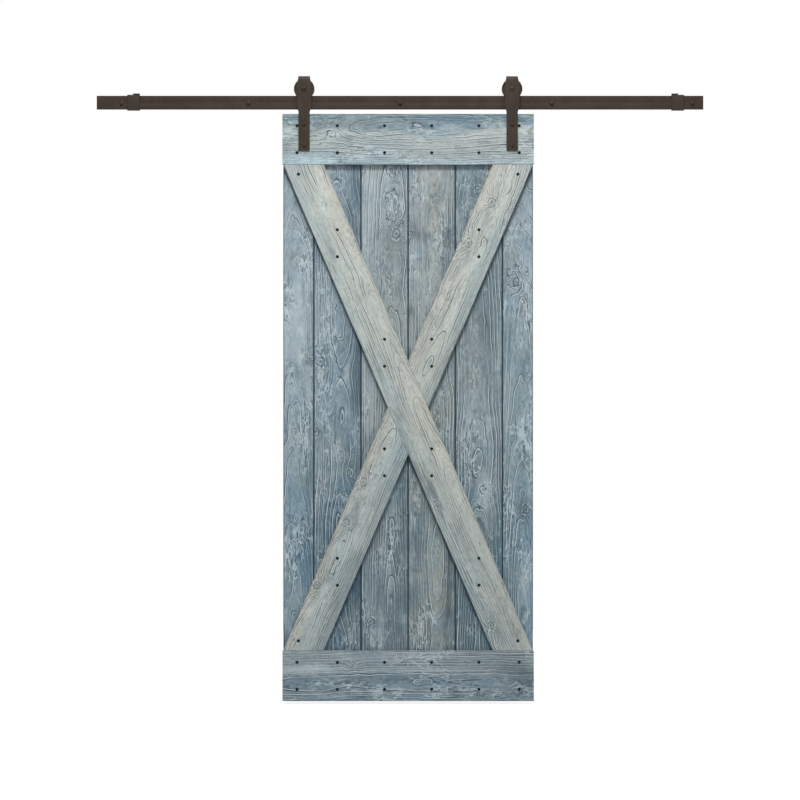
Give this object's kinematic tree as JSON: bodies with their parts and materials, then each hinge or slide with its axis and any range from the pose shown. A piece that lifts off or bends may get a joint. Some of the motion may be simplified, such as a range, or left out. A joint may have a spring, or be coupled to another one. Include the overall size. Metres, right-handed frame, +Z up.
{
  "type": "sliding barn door",
  "caption": "Plank barn door with a diagonal cross brace, hung by bent straps on grooved wheels that roll along a flat wall-mounted track with end stops.",
  "frame": {"origin": "on the middle lag bolt's axis at the wall's face, level with the track's centreline", "axes": "+X along the track to the viewer's right, +Y out of the back of the track into the wall, +Z up; the room side is -Y"},
  "size_m": [2.206, 0.1093, 2.2716],
  "materials": {
    "stained_board": "wire-brushed pine with a thin blue-grey stain, matt",
    "pale_board": "wire-brushed pine with a thin grey-beige stain, matt",
    "bronze_steel": "dark bronze powder coat, satin",
    "black_screw": "black, matt",
    "rubber": "matt",
    "zinc": "zinc plated",
    "bearing_steel": "ground"
  },
  "bodies": {
    "track": {"track_bar": "bronze_steel", "wall_spacer_1": "bronze_steel", "wall_spacer_2": "bronze_steel", "wall_spacer_3": "bronze_steel", "wall_spacer_4": "bronze_steel", "wall_spacer_5": "bronze_steel", "lag_bolt_1": "bronze_steel", "lag_bolt_2": "bronze_steel", "lag_bolt_3": "bronze_steel", "lag_bolt_4": "bronze_steel", "lag_bolt_5": "bronze_steel", "lag_washers": "bronze_steel", "end_stop_left": "bronze_steel", "end_stop_right": "bronze_steel", "stop_buffer_left": "rubber", "stop_buffer_right": "rubber", "stop_grub_screws_left": "black_screw", "stop_grub_screws_right": "black_screw"},
    "door": {"plank_1": "stained_board", "plank_2": "stained_board", "plank_3": "stained_board", "plank_4": "stained_board", "plank_5": "stained_board", "plank_6": "stained_board", "top_rail": "stained_board", "bottom_rail": "stained_board", "long_brace": "pale_board", "upper_brace": "pale_board", "lower_brace": "pale_board", "top_rail_screws": "black_screw", "bottom_rail_screws": "black_screw", "long_brace_screws": "black_screw", "upper_brace_screws": "black_screw", "lower_brace_screws": "black_screw", "strap_left": "bronze_steel", "strap_bolts_left": "bronze_steel", "strap_washers_left": "zinc", "strap_nuts_left": "zinc", "axle_bolt_left": "bronze_steel", "axle_nut_left": "zinc", "axle_bushes_left": "zinc", "bearing_inner_left": "bearing_steel", "strap_right": "bronze_steel", "strap_bolts_right": "bronze_steel", "strap_washers_right": "zinc", "strap_nuts_right": "zinc", "axle_bolt_right": "bronze_steel", "axle_nut_right": "zinc", "axle_bushes_right": "zinc", "bearing_inner_right": "bearing_steel"},
    "wheel_left": {"bearing_outer_left": "bearing_steel", "bearing_balls_left": "bearing_steel", "wheel_left": "bronze_steel"},
    "wheel_right": {"bearing_outer_right": "bearing_steel", "bearing_balls_right": "bearing_steel", "wheel_right": "bronze_steel"}
  },
  "joints": [
    {"name": "door_slide", "type": "slide", "parent": "track", "child": "door", "axis": [1, 0, 0], "range_m": [-0.564, 0.546]},
    {"name": "wheel_left_spin", "type": "hinge", "parent": "door", "child": "wheel_left", "pos_m": [-0.3485, -0.035, 0.0498], "axis": [0, 1, 0], "continuous": true},
    {"name": "wheel_right_spin", "type": "hinge", "parent": "door", "child": "wheel_right", "pos_m": [0.4075, -0.035, 0.0498], "axis": [0, 1, 0], "continuous": true}
  ],
  "couplings": [
    {"joint": "wheel_left_spin", "follows": "door_slide", "rad_per_m": 40.816},
    {"joint": "wheel_right_spin", "follows": "door_slide", "rad_per_m": 40.816}
  ]
}
